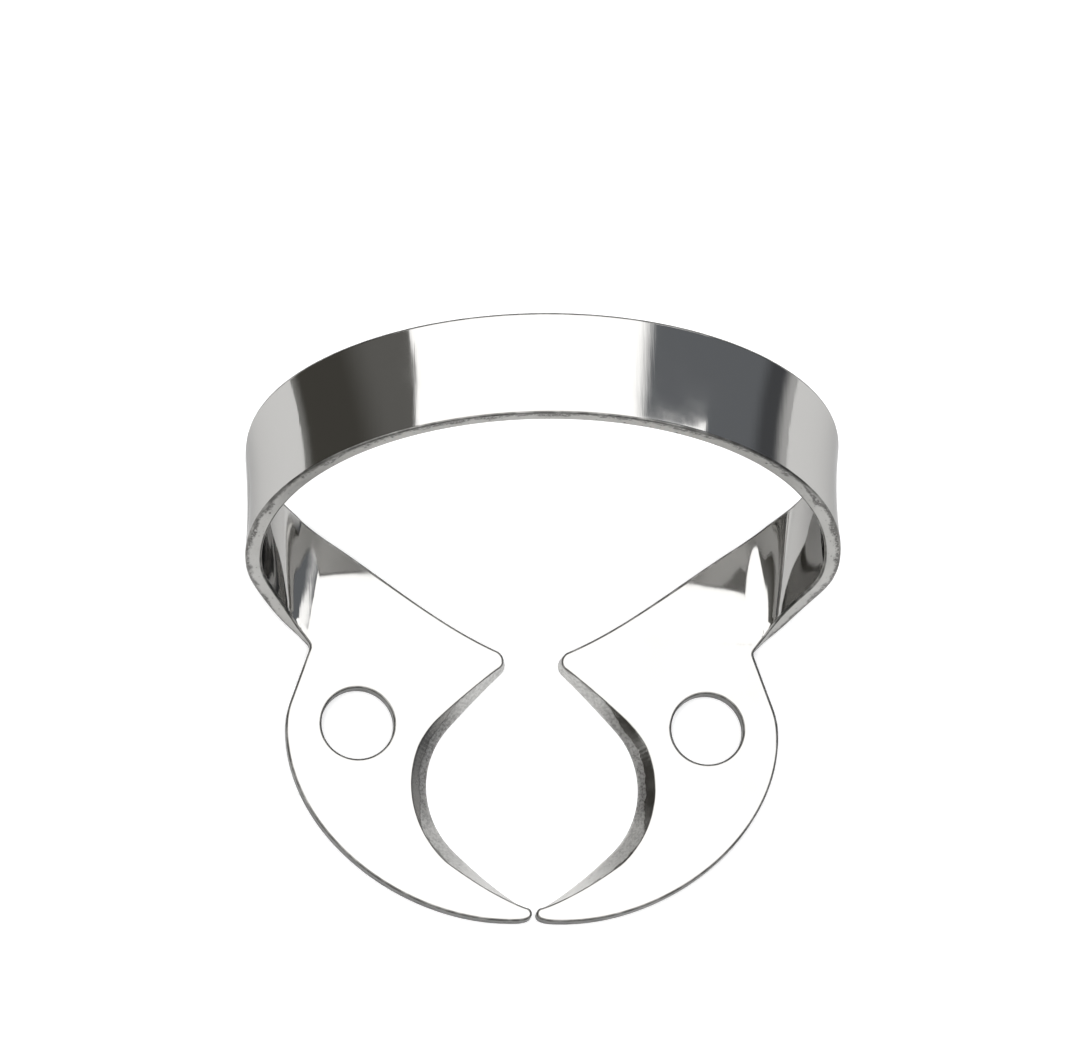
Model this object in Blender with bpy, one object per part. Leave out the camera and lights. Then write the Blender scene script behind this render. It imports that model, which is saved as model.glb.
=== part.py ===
"""Rubber dam clamp, pressed and bent from one flat blank of spring steel.

Metres, +Z up. The jaws lie flat on the ground plane, the bow arches over their back end,
and the clamp is the same on both sides of the plane x = 0. The half at +X is modelled as a
flat jaw plate that runs into a bent band, and a Mirror modifier adds the other half.
"""

import math

import bmesh
import bpy
from mathutils import Vector

MM = 0.001

# Steel
STEEL_THICKNESS = 0.75 * MM
POISSON_RATIO = 0.3

# Bow, measured to the outer faces
BOW_SPAN = 27.0 * MM
OVERALL_HEIGHT = 14.8 * MM
WIDEST_HEIGHT = 5.93 * MM
BAND_WIDTH = 4.58 * MM
CROWN_WIDTH = 4.81 * MM
CROWN_DROP = 0.5 * MM
BOW_LEAN = math.radians(26.8)

# Legs, from the widest height down to the crease where the flat jaw begins
LEG_TUCK_FRONT = 3.22 * MM
LEG_TUCK_BACK = 4.01 * MM
ROOT_WIDTH = 4.86 * MM
ROOT_HEADING_FRONT = math.radians(50.7)
ROOT_HEADING_BACK = math.radians(33.1)
CREASE_RADIUS_FRONT = 2.0 * MM
CREASE_RADIUS_BACK = 2.1 * MM
CREASE_TURN_FRONT = math.radians(14.0)
CREASE_TURN_BACK = math.radians(46.9)
LEG_SWEEP_FRONT = 0.76
LEG_SWEEP_BACK = 1.28

# Jaw plates, as seen from above
JAW_HALF_WIDTH = 11.3 * MM
NOTCH_Y = 0.456 * MM
NOTCH_RADIUS = 0.3 * MM
EAR_RADIUS = 3.6 * MM
EAR_Y = -3.5 * MM
JAW_FRONT_X = 1.2 * MM
JAW_FRONT_Y = -12.37 * MM
SIDE_FULLNESS = 1.09
TIP_GAP = 0.2 * MM
TIP_RADIUS = 0.28 * MM
TIP_Y = -12.0 * MM
TIP_RISE = math.radians(25.0)
TIP_HEADING = math.radians(30.0)
PRONG_GAP = 2.46 * MM
PRONG_RADIUS = 0.55 * MM
PRONG_Y = -0.326 * MM
PRONG_BACK_HEADING = math.radians(24.0)
PRONG_FRONT_HEADING = math.radians(-44.0)

# Tooth recess and its ground bevel
RECESS_RADIUS = 4.22 * MM
RECESS_CENTRE_X = 0.64 * MM
RECESS_CENTRE_Y = -6.076 * MM
RECESS_START = math.radians(41.5)
RECESS_END = math.radians(-45.5)
BEVEL_WIDTH = 0.72 * MM
BEVEL_LAND = 0.12 * MM
BEVEL_FADE = 0.8
BEVEL_RUN_TIP = 4.2 * MM
BEVEL_RUN_PRONG = 6.0 * MM

# Forceps holes
HOLE_DIAMETER = 3.3 * MM
HOLE_TO_EAR_SIDE = 3.28 * MM
HOLE_TO_NOTCH = 3.75 * MM
HOLE_CUTTER_DEPTH = 4.0 * MM

# Facets
BAND_ROWS = 6
CREASE_STEPS = 6
LEG_STEPS = 9
BOW_STEPS = 24
CURVE_STEPS = 12
ROUND_STEPS = 6
HOLE_SIDES = 48
MERGE_DISTANCE = 0.00001
SMOOTH_ANGLE = math.radians(30.0)

MID = STEEL_THICKNESS / 2
BOW_HALF = BOW_SPAN / 2 - MID
BOW_RISE = OVERALL_HEIGHT - MID - WIDEST_HEIGHT
NOTCH_X = BOW_SPAN / 2 - LEG_TUCK_FRONT
CREASE_BACK_X = BOW_SPAN / 2 - LEG_TUCK_BACK
HOLE_CENTRE = (JAW_HALF_WIDTH - HOLE_TO_EAR_SIDE, NOTCH_Y - HOLE_TO_NOTCH, MID)


def blend(start, end, share):
    return start + (end - start) * share


def bezier(p0, p1, p2, p3, share):
    """Point of a cubic Bezier curve."""
    rest = 1 - share
    return p0 * rest**3 + p1 * (3 * rest**2 * share) + p2 * (3 * rest * share**2) + p3 * share**3


def heading_vector(angle):
    return Vector((math.cos(angle), math.sin(angle)))


def arc(centre, radius, start, end, steps):
    """Points along an arc about centre, from angle start to angle end."""
    return [centre + radius * heading_vector(blend(start, end, i / steps)) for i in range(steps + 1)]


def sweep(start, start_heading, end, end_heading, steps, fullness=1.0):
    """Points along a curve that leaves start and reaches end along two given headings."""
    reach = fullness * (end - start).length / 3
    handle_out = start + reach * heading_vector(start_heading)
    handle_in = end - reach * heading_vector(end_heading)
    return [bezier(start, handle_out, handle_in, end, i / steps) for i in range(steps + 1)]


def joined(*stretches):
    """Stretches that share their end points, as one list without doubles."""
    points = list(stretches[0])
    for stretch in stretches[1:]:
        points.extend(stretch[1:])
    return points


def distances(points):
    """Distance along a line of points, from its first point to each."""
    total = [0.0]
    for before, after in zip(points, points[1:]):
        total.append(total[-1] + (after - before).length)
    return total


def outer_outline():
    """From the notch, round the ear and along the jaw's outer side to the front of its tip."""
    notch = Vector((NOTCH_X, NOTCH_Y))
    inward = ROOT_HEADING_FRONT + math.pi
    notch_centre = notch + NOTCH_RADIUS * heading_vector(inward + math.pi / 2)
    ear_centre = Vector((JAW_HALF_WIDTH - EAR_RADIUS, EAR_Y))
    # The ear's flank is the straight line that touches both the notch's round and the ear's arc.
    between = ear_centre - notch_centre
    lean = math.asin(min(1.0, (EAR_RADIUS + NOTCH_RADIUS) / between.length))
    flank = math.atan2(between.y, between.x) + lean
    notch_round = arc(notch_centre, NOTCH_RADIUS, inward - math.pi / 2, flank + math.pi * 1.5, ROUND_STEPS)
    ear = arc(ear_centre, EAR_RADIUS, flank + math.pi / 2, 0.0, ROUND_STEPS)
    front = Vector((JAW_FRONT_X, JAW_FRONT_Y))
    side = sweep(ear[-1], -math.pi / 2, front, -math.pi, 2 * CURVE_STEPS, SIDE_FULLNESS)
    to_tip = sweep(front, math.pi, tip_round()[0], math.pi - TIP_RISE, ROUND_STEPS)
    return joined(notch_round, [notch_round[-1], ear[0]], ear, side, to_tip)


def tip_round():
    """The tip's nose, from the outer side round to the recess."""
    centre = Vector((TIP_GAP / 2 + TIP_RADIUS, TIP_Y))
    return arc(centre, TIP_RADIUS, -math.pi / 2 - TIP_RISE, -math.pi * 1.5 + TIP_HEADING, ROUND_STEPS)


def prong_round():
    """The prong's nose, from the recess round to the jaw's back edge."""
    centre = Vector((PRONG_GAP / 2 + PRONG_RADIUS, PRONG_Y))
    start = PRONG_FRONT_HEADING - math.pi / 2
    end = PRONG_BACK_HEADING - math.pi * 1.5
    return arc(centre, PRONG_RADIUS, start, end, ROUND_STEPS)


def recess_outline():
    """The ground edge of the tooth recess, from the tip's nose to the far side of the prong's."""
    centre = Vector((RECESS_CENTRE_X, RECESS_CENTRE_Y))
    bowl = arc(centre, RECESS_RADIUS, RECESS_END, RECESS_START, 2 * CURVE_STEPS)
    tip = tip_round()[-1]
    prong = prong_round()[0]
    from_tip = sweep(tip, TIP_HEADING, bowl[0], RECESS_END + math.pi / 2, CURVE_STEPS)
    to_prong = sweep(bowl[-1], RECESS_START + math.pi / 2, prong, PRONG_FRONT_HEADING + math.pi, CURVE_STEPS)
    return joined(from_tip, bowl, to_prong, prong_round())


def back_outline():
    """The jaw's back edge, from the prong's nose to the back end of the crease."""
    start = prong_round()[-1]
    end = Vector((CREASE_BACK_X, NOTCH_Y + ROOT_WIDTH))
    return sweep(start, PRONG_BACK_HEADING, end, ROOT_HEADING_BACK, CURVE_STEPS)


def ground_back(points):
    """The recess outline on the upper face, set back by the width of the ground bevel."""
    travelled = distances(points)
    moved = []
    for i, point in enumerate(points):
        before = points[max(i - 1, 0)]
        after = points[min(i + 1, len(points) - 1)]
        along = (after - before).normalized()
        from_tip = min(1.0, travelled[i] / BEVEL_RUN_TIP)
        from_prong = min(1.0, (travelled[-1] - travelled[i]) / BEVEL_RUN_PRONG)
        width = BEVEL_WIDTH * (from_tip * from_prong) ** BEVEL_FADE
        moved.append(point + width * Vector((along.y, -along.x)))
    return moved


def section(across):
    """The band's bent line at one place across its width, 0 at the front edge and 1 at the back.

    It gives x and z of the sheet's middle from the crease up to the crown.
    """
    start_x = blend(NOTCH_X, CREASE_BACK_X, across)
    radius = blend(CREASE_RADIUS_FRONT, CREASE_RADIUS_BACK, across)
    turn = blend(CREASE_TURN_FRONT, CREASE_TURN_BACK, across)
    crease = []
    for i in range(CREASE_STEPS + 1):
        angle = turn * i / CREASE_STEPS
        crease.append(Vector((start_x + radius * math.sin(angle), MID + radius * (1 - math.cos(angle)))))
    hip = crease[-1]
    widest = Vector((BOW_HALF, WIDEST_HEIGHT))
    leg = sweep(hip, turn, widest, math.pi / 2, LEG_STEPS, blend(LEG_SWEEP_FRONT, LEG_SWEEP_BACK, across))
    # The crown's outer face looks a little backwards, so its back edge is lower than its front.
    height = BOW_RISE - across * CROWN_DROP
    bow = []
    for i in range(BOW_STEPS + 1):
        angle = math.pi / 2 * i / BOW_STEPS
        bow.append(Vector((BOW_HALF * math.cos(angle), WIDEST_HEIGHT + height * math.sin(angle))))
    return joined(crease, leg, bow)


def rise(start, start_slope, end, end_slope, length, share):
    """Height of a smooth curve that starts and ends at given heights and slopes."""
    return bezier(start, start + start_slope * length / 3, end - end_slope * length / 3, end, share)


def edge_line(across):
    """How far back the band's front or back edge lies at each step of its section."""
    points = section(across)
    travelled = distances(points)
    knee = CREASE_STEPS + LEG_STEPS
    lean = math.tan(BOW_LEAN)
    front_at_knee = NOTCH_Y + lean * (WIDEST_HEIGHT - MID)
    line = []
    for i in range(BOW_STEPS + 1):
        angle = math.pi / 2 * i / BOW_STEPS
        # Steepness of the bow's half ellipse, which sets how far the leaning band is cut along Y.
        climb = BOW_RISE * math.cos(angle)
        climb /= math.hypot(climb, BOW_HALF * math.sin(angle))
        width = blend(BAND_WIDTH, CROWN_WIDTH, math.sin(angle)) * math.hypot(1.0, lean * climb)
        depth = math.sqrt(width**2 - (CROWN_DROP * math.sin(angle)) ** 2)
        line.append(front_at_knee + lean * BOW_RISE * math.sin(angle) + across * depth)
    heading = ROOT_HEADING_BACK if across else ROOT_HEADING_FRONT
    root = NOTCH_Y + across * ROOT_WIDTH
    root_line = []
    for i in range(knee):
        share = travelled[i] / travelled[knee]
        root_line.append(rise(root, math.tan(heading), line[0], lean, travelled[knee], share))
    return root_line + line


def band_middle():
    """The sheet's middle surface, as rows of points from the crease to the crown."""
    front_line = edge_line(0)
    back_line = edge_line(1)
    rows = []
    for j in range(BAND_ROWS + 1):
        across = j / BAND_ROWS
        points = section(across)
        row = []
        for i, point in enumerate(points):
            row.append(Vector((point.x, blend(front_line[i], back_line[i], across), point.y)))
        rows.append(row)
    return rows


def bending(points, i):
    """Curvature of a line of points at point i, which is nought at the crease's start."""
    if i == 0:
        return 0.0
    ahead = points[i + 1] if i + 1 < len(points) else Vector((-points[i - 1].x, points[i - 1].y))
    before = (points[i] - points[i - 1]).to_2d()
    after = (ahead - points[i]).to_2d()
    return 2 * abs(before.angle_signed(after)) / (before.length + after.length)


def dished(rows):
    """The band hollowed across its width, as a strip is where it has been bent lengthwise."""
    middle = section(0.5)
    knee = CREASE_STEPS + LEG_STEPS
    for j, row in enumerate(rows):
        across = j / BAND_ROWS
        for i in range(CREASE_STEPS, len(row)):
            fade = min(1.0, (i - CREASE_STEPS) / LEG_STEPS)
            depth = POISSON_RATIO * bending(middle, max(i, knee)) * BAND_WIDTH**2 / 8
            inward = (Vector((0.0, row[i].y, WIDEST_HEIGHT)) - row[i])
            row[i] += inward.normalized() * depth * fade * 4 * across * (1 - across)
    return rows


def sheet_normal(rows, j, i):
    """Direction square to the middle surface, upwards on the jaw and inwards on the bow."""
    if i == 0:
        return Vector((0.0, 0.0, 1.0))
    row = rows[j]
    ahead = row[i + 1] if i + 1 < len(row) else Vector((-row[i - 1].x, row[i - 1].y, row[i - 1].z))
    along = (ahead - row[i]).normalized() + (row[i] - row[i - 1]).normalized()
    over = rows[min(j + 1, BAND_ROWS)][i] - rows[max(j - 1, 0)][i]
    return along.cross(over).normalized()


def add_band(mesh):
    """The bent band up to the crown. Returns its inner and outer vertices along the crease."""
    rows = dished(band_middle())
    inner = []
    outer = []
    for j, row in enumerate(rows):
        offsets = [sheet_normal(rows, j, i) * MID for i in range(len(row))]
        inner.append([mesh.verts.new(point + offset) for point, offset in zip(row, offsets)])
        outer.append([mesh.verts.new(point - offset) for point, offset in zip(row, offsets)])
    steps = len(rows[0])
    for i in range(1, steps):
        for j in range(1, BAND_ROWS + 1):
            for grid in (inner, outer):
                mesh.faces.new((grid[j - 1][i - 1], grid[j][i - 1], grid[j][i], grid[j - 1][i]))
        for j in (0, BAND_ROWS):
            mesh.faces.new((inner[j][i - 1], inner[j][i], outer[j][i], outer[j][i - 1]))
    return [row[0] for row in inner], [row[0] for row in outer]


def add_jaw(mesh, crease_top, crease_bottom):
    """The flat jaw plate, joined to the band's vertices along the crease."""
    recess = recess_outline()
    before = joined(outer_outline(), tip_round())
    after = back_outline()
    # The crease's own two end points come from the band.
    lower = before[1:] + recess[1:-1] + after[:-1]
    upper = before[1:] + ground_back(recess)[1:-1] + after[:-1]
    ground = range(len(before) - 1, len(before) - 1 + len(recess) - 2)
    top = [mesh.verts.new((point.x, point.y, STEEL_THICKNESS)) for point in upper]
    bottom = [mesh.verts.new((point.x, point.y, 0.0)) for point in lower]
    # Under the bevel a thin upright land is left, so the edge isn't infinitely sharp.
    land = {i: mesh.verts.new((lower[i].x, lower[i].y, BEVEL_LAND)) for i in ground}
    top_loop = [crease_top[0]] + top + crease_top[:0:-1]
    bottom_loop = [crease_bottom[0]] + bottom + crease_bottom[:0:-1]
    mesh.faces.new(top_loop)
    mesh.faces.new(bottom_loop)
    count = len(top)
    for i in range(count + 1):
        upper_pair = (top_loop[i], top_loop[i + 1])
        lower_pair = (bottom_loop[i], bottom_loop[i + 1])
        first = land.get(i - 1)
        second = land.get(i)
        if first and second:
            mesh.faces.new((*upper_pair, second, first))
            mesh.faces.new((first, second, *reversed(lower_pair)))
        elif second:
            mesh.faces.new((*upper_pair, second, *reversed(lower_pair)))
        elif first:
            mesh.faces.new((*upper_pair, *reversed(lower_pair), first))
        else:
            mesh.faces.new((*upper_pair, *reversed(lower_pair)))


def clamp_half():
    mesh = bmesh.new()
    crease_top, crease_bottom = add_band(mesh)
    add_jaw(mesh, crease_top, crease_bottom)
    bmesh.ops.recalc_face_normals(mesh, faces=mesh.faces)
    data = bpy.data.meshes.new("clamp")
    mesh.to_mesh(data)
    mesh.free()
    data.shade_smooth()
    data.set_sharp_from_angle(angle=SMOOTH_ANGLE)
    return data


def hole_cutter_mesh():
    mesh = bmesh.new()
    bmesh.ops.create_cone(
        mesh,
        cap_ends=True,
        segments=HOLE_SIDES,
        radius1=HOLE_DIAMETER / 2,
        radius2=HOLE_DIAMETER / 2,
        depth=HOLE_CUTTER_DEPTH,
    )
    bmesh.ops.translate(mesh, verts=mesh.verts, vec=HOLE_CENTRE)
    data = bpy.data.meshes.new("forceps_hole_cutter")
    mesh.to_mesh(data)
    mesh.free()
    return data


def add_object(name, data):
    new = bpy.data.objects.new(name, data)
    bpy.context.scene.collection.objects.link(new)
    return new


def mirror(target):
    modifier = target.modifiers.new("other_half", "MIRROR")
    modifier.use_axis = (True, False, False)
    modifier.use_mirror_merge = True
    modifier.merge_threshold = MERGE_DISTANCE


def polished_steel():
    material = bpy.data.materials.new("polished_steel")
    material.use_nodes = True
    shader = material.node_tree.nodes["Principled BSDF"]
    shader.inputs["Base Color"].default_value = (0.78, 0.77, 0.75, 1.0)
    shader.inputs["Metallic"].default_value = 1.0
    shader.inputs["Roughness"].default_value = 0.12
    return material


def main():
    for old in list(bpy.data.objects):
        bpy.data.objects.remove(old)
    clamp = add_object("clamp", clamp_half())
    clamp.data.materials.append(polished_steel())
    mirror(clamp)
    cutter = add_object("forceps_hole_cutter", hole_cutter_mesh())
    mirror(cutter)
    cutter.hide_render = True
    cutter.display_type = "WIRE"
    holes = clamp.modifiers.new("forceps_holes", "BOOLEAN")
    holes.operation = "DIFFERENCE"
    holes.solver = "EXACT"
    holes.object = cutter


main()
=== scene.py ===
"""Rubber dam clamp of polished spring steel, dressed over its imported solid.

The clamp is one bent sheet. Its band is swept by Geometry Nodes along three guide lines, its two
jaw plates are built round their outline, and both share one rounded edge profile, so the whole
is a single closed mesh. Metres, +Z up, jaws flat on the ground plane, same on both sides of x = 0.
"""

import math

import bmesh
import bpy
from mathutils import Matrix, Vector
from mathutils.geometry import tessellate_polygon


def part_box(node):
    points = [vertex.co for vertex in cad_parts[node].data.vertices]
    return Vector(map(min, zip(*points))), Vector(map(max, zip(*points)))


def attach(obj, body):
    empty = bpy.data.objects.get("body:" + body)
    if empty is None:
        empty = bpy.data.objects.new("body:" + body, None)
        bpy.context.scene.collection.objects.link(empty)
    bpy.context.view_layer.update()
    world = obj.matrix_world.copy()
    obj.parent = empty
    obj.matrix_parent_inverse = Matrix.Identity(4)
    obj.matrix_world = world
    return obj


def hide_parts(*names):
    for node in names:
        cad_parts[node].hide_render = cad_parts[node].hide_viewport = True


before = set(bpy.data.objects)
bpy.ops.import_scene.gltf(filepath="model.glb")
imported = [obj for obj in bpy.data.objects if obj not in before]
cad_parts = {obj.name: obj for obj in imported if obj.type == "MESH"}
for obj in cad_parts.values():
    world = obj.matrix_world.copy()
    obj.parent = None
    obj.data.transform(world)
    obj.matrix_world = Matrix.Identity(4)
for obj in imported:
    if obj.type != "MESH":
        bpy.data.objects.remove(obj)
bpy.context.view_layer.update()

bl_info = {
    "name": "Rubber Dam Clamp",
    "version": (1, 0, 0),
    "blender": (4, 5, 0),
    "location": "3D View > Sidebar > Dam Clamp",
    "description": "Builds a polished dental clamp from its sizes, with its steel finishes and a studio",
    "category": "Add Mesh",
}

MM = 0.001
CAD_LOW, CAD_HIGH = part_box("clamp")
CAD_SPAN = CAD_HIGH.x - CAD_LOW.x
CAD_FRONT_Y = CAD_LOW.y

# How finely each stretch of the sheet is divided
CREASE_STEPS = 22
LEG_STEPS = 44
BOW_STEPS = 104
BAND_ROWS = 18
NOTCH_STEPS = 24
EAR_STEPS = 60
SIDE_STEPS = 240
NOSE_STEPS = 40
RECESS_STEPS = 120
RUN_STEPS = 80
OUTLINE_SPACING = 0.13 * MM
FILLET_STEPS = 5
FLANK_STEPS = 8
HOLE_SIDES = 96
# Flat margin kept beside each rounded rim, so that its shading stays on the rim
SUPPORT = 0.03 * MM
# Steps of the jaw's outline over which its edge darkens to its painted shade, from the notch and the crease
EDGE_SHADE_STEPS = 12
# Bevel width from which the rims beside it are at their smallest, and their share of the plain ones
FULL_BEVEL = 0.3 * MM
BEVEL_RIM_SHARE = 0.6
# Bevel width from which an edge counts as ground
GROUND_FROM = 0.05 * MM
# Distance within which the jaws' vertices join the band's
JOIN = 0.0005 * MM

# How closely the shear's tears follow each other along the band and through its thickness, the
# level from which they cut in, and their seed
TEARS_ALONG = 0.9
TEARS_THROUGH = 3.0
TEAR_LEVEL = 0.35
TEAR_SEED = 4.0

# Colours in the finishes that nobody would change by themselves
TORN = (0.09, 0.087, 0.084)
GROUND_ENDS = (0.62, 0.615, 0.6)
GROUND_MIDDLE = (0.42, 0.415, 0.405)
GROUND_WORN = (0.1, 0.097, 0.093)
GROUND_SMOOTH = (0.3, 0.295, 0.285)
GRAZING_TINT = (0.62, 0.62, 0.62)
LEFT_HORIZON = (0.35, 0.35, 0.34)
RIGHT_HORIZON = (0.7, 0.7, 0.7)
WHITE = (1.0, 1.0, 1.0)

# The camera's turn round the clamp, its rise over it and its roll, in degrees
CAMERA_TURN = -21.939
CAMERA_RISE = 74.106
CAMERA_ROLL = 22.306
CAMERA_AIM = Vector((-0.378, -5.686, -300.0)) * MM
CAMERA_CENTRE = Vector((0.0, 0.316, 0.375)) * MM
CAMERA_LENS = 218.17
CAMERA_SENSOR = 36.0
FLOOR_HALF = 1.5
# The floor's own glow where it is seen, and the share of it that the steel mirrors
FLOOR_GLOW = 0.32
FLOOR_MIRRORED = 0.06


def number(name, description, default, low, high, **kind):
    return bpy.props.FloatProperty(
        name=name, description=description, default=default, min=low, max=high, **kind
    )


def length(name, description, default_mm, low=0.0):
    return number(name, description, default_mm * MM, low * MM, 50.0 * MM, precision=5, unit="LENGTH")


def angle(name, description, degrees):
    kind = {"subtype": "ANGLE", "unit": "ROTATION"}
    return number(name, description, math.radians(degrees), -math.pi, math.pi, **kind)


def share(name, description, default):
    return number(name, description, default, 0.0, 1.0, subtype="FACTOR")


def level(name, description, default):
    return number(name, description, default, 0.0, 4.0)


def colour(name, description, default):
    return bpy.props.FloatVectorProperty(
        name=name, description=description, default=default, size=3, min=0.0, max=1.0, subtype="COLOR"
    )


class ClampSizes(bpy.types.PropertyGroup):
    """Sizes of the clamp, in metres and radians."""

    thickness: length("Steel Thickness", "Thickness of the spring steel", 0.75)
    edge_rounding: length("Edge Rounding", "Radius that polishing leaves along every edge", 0.1)
    bow_span: length("Bow Span", "Width over the bow's outer faces", CAD_SPAN / MM)
    overall_height: length("Overall Height", "From the jaws' underside to the top of the bow", 14.8)
    widest_height: length("Widest Height", "Height at which the bow is widest", 5.93)
    band_width: length("Band Width", "Width of the bow's band where it is widest", 4.58)
    crown_width: length("Crown Width", "Width of the bow's band at its crown", 4.81)
    crown_drop: length("Crown Drop", "How much lower the crown's back edge is than its front", 0.5)
    bow_lean: angle("Bow Lean", "How far the bow leans back from upright", 26.8)
    hollow: share("Hollow", "How far steel narrows when stretched, which sags the band's middle", 0.3)
    leg_tuck_front: length("Leg Tuck Front", "From the widest place in to the crease's front end", 3.22)
    leg_tuck_back: length("Leg Tuck Back", "From the widest place in to the crease's back end", 4.01)
    root_width: length("Root Width", "Length of the crease along Y", 4.86)
    root_heading_front: angle("Root Heading Front", "Heading of the band's front edge at the crease", 50.7)
    root_heading_back: angle("Root Heading Back", "Heading of the band's back edge at the crease", 33.1)
    crease_radius_front: length("Crease Radius Front", "Bend radius at the crease's front end", 2.0)
    crease_radius_back: length("Crease Radius Back", "Bend radius at the crease's back end", 2.1)
    crease_turn_front: angle("Crease Turn Front", "Angle bent at the crease's front end", 14.0)
    crease_turn_back: angle("Crease Turn Back", "Angle bent at the crease's back end", 46.9)
    leg_sweep_front: level("Leg Sweep Front", "Fullness of the leg's front curve", 0.76)
    leg_sweep_back: level("Leg Sweep Back", "Fullness of the leg's back curve", 1.28)
    jaw_half_width: length("Jaw Half Width", "From the middle plane to the ear's outer side", 11.3)
    notch_y: length("Notch Y", "Place of the notch between ear and leg", 0.456, -50.0)
    notch_radius: length("Notch Radius", "Rounding of the notch", 0.3)
    ear_radius: length("Ear Radius", "Radius of the ear's shoulder", 3.6)
    ear_y: length("Ear Y", "Place of the ear's widest point", -3.5, -50.0)
    jaw_front_x: length("Jaw Front X", "Place of the jaw's foremost point", 1.2)
    jaw_front_y: length("Jaw Front Y", "Place of the jaws' front edge", CAD_FRONT_Y / MM, -50.0)
    side_fullness: level("Side Fullness", "Fullness of the jaw's outer side", 1.09)
    tip_gap: length("Tip Gap", "Gap between the two tips", 0.2)
    tip_radius: length("Tip Radius", "Rounding of the tips", 0.28)
    tip_y: length("Tip Y", "Place of the tips' noses", -12.0, -50.0)
    tip_rise: angle("Tip Rise", "How steeply the outer side curls up to the tip's nose", 25.0)
    tip_heading: angle("Tip Heading", "Heading of the recess as it leaves the tip", 30.0)
    prong_gap: length("Prong Gap", "Gap between the two back prongs", 2.46)
    prong_radius: length("Prong Radius", "Rounding of the prongs", 0.55)
    prong_y: length("Prong Y", "Place of the prongs' noses", -0.326, -50.0)
    prong_back_heading: angle("Prong Back Heading", "Heading of the jaw's back edge at the prong", 24.0)
    prong_front_heading: angle("Prong Front Heading", "Heading of the recess at the prong", -44.0)
    recess_radius: length("Recess Radius", "Radius of the tooth recess", 4.22)
    recess_centre_x: length("Recess Centre X", "Centre of the recess's arc", 0.64)
    recess_centre_y: length("Recess Centre Y", "Centre of the recess's arc", -6.076, -50.0)
    recess_start: angle("Recess Start", "Where the recess's arc ends at the back", 41.5)
    recess_end: angle("Recess End", "Where the recess's arc ends at the front", -45.5)
    bevel_width: length("Bevel Width", "Width of the ground bevel seen from above", 0.72)
    bevel_land: length("Bevel Land", "Upright land left under the bevel", 0.12)
    bevel_fade: level("Bevel Fade", "How soon the bevel reaches its full width", 0.8)
    bevel_run_tip: length("Bevel Run Tip", "Length over which the bevel widens from the tip", 4.2)
    bevel_run_prong: length("Bevel Run Prong", "Length over which the bevel widens from the prong", 6.0)
    hole_diameter: length("Hole Diameter", "Diameter of the forceps holes", 3.3)
    hole_to_ear: length("Hole To Ear", "From the hole's centre out to the ear's side", 3.28)
    hole_to_notch: length("Hole To Notch", "From the hole's centre back to the notch", 3.75)


class ClampFinish(bpy.types.PropertyGroup):
    """Finish of the steel."""

    steel_colour: colour("Steel", "Colour of the polished steel", (0.48, 0.474, 0.462))
    edge_colour: colour("Sheared Edge", "Colour of the sheared edges", (0.42, 0.415, 0.4))
    polish: share("Polish Roughness", "Roughness of the polished faces", 0.045)
    # The rims' colour is a painted shade, darker than the steel, for the dark line along every edge.
    rim_shade_colour: colour("Rim", "Colour of the rounded rims between faces and edges", (0.12, 0.118, 0.112))
    shear_depth: length("Shear Depth", "Depth of the tears in the sheared edge", 0.012)
    chatter_depth: length("Chatter Depth", "Depth of the grinder's chatter marks on the bevel", 0.01)


class StageLook(bpy.types.PropertyGroup):
    """Floor and light round the clamp."""

    floor_colour: colour("Floor", "Colour of the floor", (0.88, 0.88, 0.88))
    softbox: level("Softbox", "Brightness of the softbox overhead", 2.2)
    left_low: colour("Left Wall Low", "Dark studio wall on the left", (0.09, 0.086, 0.076))
    left_high: colour("Left Wall High", "The same wall up by the softbox", (0.19, 0.187, 0.178))
    right_low: colour("Right Wall Low", "Dark studio wall on the right", (0.1, 0.104, 0.112))
    right_high: colour("Right Wall High", "The same wall up by the softbox", (0.21, 0.222, 0.24))


def blend(start, end, part):
    return start + (end - start) * part


def bezier(p0, p1, p2, p3, part):
    """Point of a cubic curve from p0 to p3, with the handles p1 and p2."""
    rest = 1 - part
    return p0 * rest**3 + p1 * (3 * rest**2 * part) + p2 * (3 * rest * part**2) + p3 * part**3


def heading_vector(turn):
    return Vector((math.cos(turn), math.sin(turn)))


def turns(total, steps):
    """Angles from nought to a total, in equal steps."""
    return [total * i / steps for i in range(steps + 1)]


def arc(centre, radius, start, end, steps):
    """Points along an arc about centre, from angle start to angle end."""
    return [centre + radius * heading_vector(blend(start, end, i / steps)) for i in range(steps + 1)]


def sweep(start, start_heading, end, end_heading, steps, fullness=1.0):
    """Points along a curve that leaves start and reaches end along two given headings."""
    reach = fullness * (end - start).length / 3
    handle_out = start + reach * heading_vector(start_heading)
    handle_in = end - reach * heading_vector(end_heading)
    return [bezier(start, handle_out, handle_in, end, i / steps) for i in range(steps + 1)]


def joined(*stretches):
    """Stretches that share their end points, as one list without doubles."""
    points = list(stretches[0])
    for stretch in stretches[1:]:
        points.extend(stretch[1:])
    return points


def distances(points):
    """Distance along a line of points, from its first point to each."""
    total = [0.0]
    for before, after in zip(points, points[1:]):
        total.append(total[-1] + (after - before).length)
    return total


def even(points, spacing):
    """The same line with its points an even distance apart."""
    travelled = distances(points)
    count = max(2, round(travelled[-1] / spacing))
    result = []
    k = 0
    for i in range(count + 1):
        goal = travelled[-1] * i / count
        while k < len(points) - 2 and travelled[k + 1] < goal:
            k += 1
        step = travelled[k + 1] - travelled[k]
        result.append(points[k].lerp(points[k + 1], min(1.0, (goal - travelled[k]) / step)))
    return result


def bow_axes(sizes):
    """Half span and rise of the bow's half ellipse, to the middle of the sheet."""
    middle = sizes.thickness / 2
    return sizes.bow_span / 2 - middle, sizes.overall_height - middle - sizes.widest_height


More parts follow.
